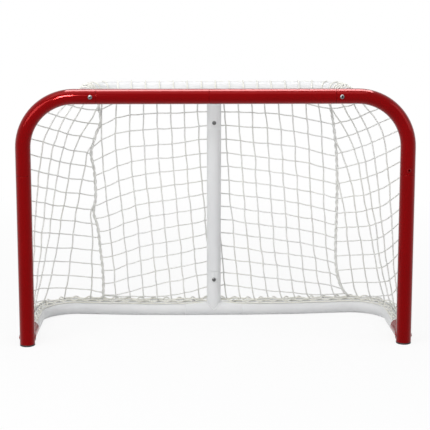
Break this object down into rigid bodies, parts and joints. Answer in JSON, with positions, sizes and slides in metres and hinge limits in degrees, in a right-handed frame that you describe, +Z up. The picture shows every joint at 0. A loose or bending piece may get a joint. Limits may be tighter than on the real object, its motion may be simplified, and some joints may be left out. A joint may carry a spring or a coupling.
{
  "type": "street hockey goal",
  "caption": "Free-standing street hockey goal: red tube front frame with rounded top corners, white tube base and top shelf, leaning centre post and a knotted square-mesh net.",
  "frame": {"origin": "on the floor, under the middle of the goal's bounding box", "axes": "+X to the right along the mouth as a shooter sees it, +Y into the goal from the mouth to the back net, +Z up"},
  "size_m": [0.9906, 0.3434, 0.6513],
  "materials": {
    "red_paint": "gloss deep red powder coat on steel tube",
    "white_paint": "semi-gloss white powder coat on steel tube",
    "zinc": "bright zinc plate on button-head screws and nuts",
    "rubber": "matte black moulded rubber",
    "net_cord": "white knotted polyester cord"
  },
  "bodies": {
    "root": {"base_tee": "white_paint", "base_tube_left": "white_paint", "base_tube_right": "white_paint", "centre_post": "white_paint", "corner_left": "red_paint", "corner_right": "red_paint", "crossbar_left": "red_paint", "crossbar_right": "red_paint", "foot_left": "rubber", "foot_right": "rubber", "lacing_rod_base_left": "white_paint", "lacing_rod_base_right": "white_paint", "lacing_rod_corner_left": "red_paint", "lacing_rod_corner_right": "red_paint", "lacing_rod_crossbar_left": "red_paint", "lacing_rod_crossbar_right": "red_paint", "lacing_rod_post_left": "red_paint", "lacing_rod_post_right": "red_paint", "net_back": "net_cord", "net_left": "net_cord", "net_right": "net_cord", "net_seam_left": "net_cord", "net_seam_right": "net_cord", "net_top": "net_cord", "nut_base_left": "zinc", "nut_base_right": "zinc", "nut_corner_left": "zinc", "nut_corner_right": "zinc", "nut_crossbar": "zinc", "nut_post_left": "zinc", "nut_post_lower": "zinc", "nut_post_right": "zinc", "nut_post_upper": "zinc", "nut_shelf_left": "zinc", "nut_shelf_right": "zinc", "nut_tee_left": "zinc", "nut_tee_right": "zinc", "post_left": "red_paint", "post_right": "red_paint", "screw_base_left": "zinc", "screw_base_right": "zinc", "screw_corner_left": "zinc", "screw_corner_right": "zinc", "screw_crossbar": "zinc", "screw_post_left": "zinc", "screw_post_lower": "zinc", "screw_post_right": "zinc", "screw_post_upper": "zinc", "screw_shelf_left": "zinc", "screw_shelf_right": "zinc", "screw_tee_left": "zinc", "screw_tee_right": "zinc", "top_shelf": "white_paint"}
  },
  "joints": []
}
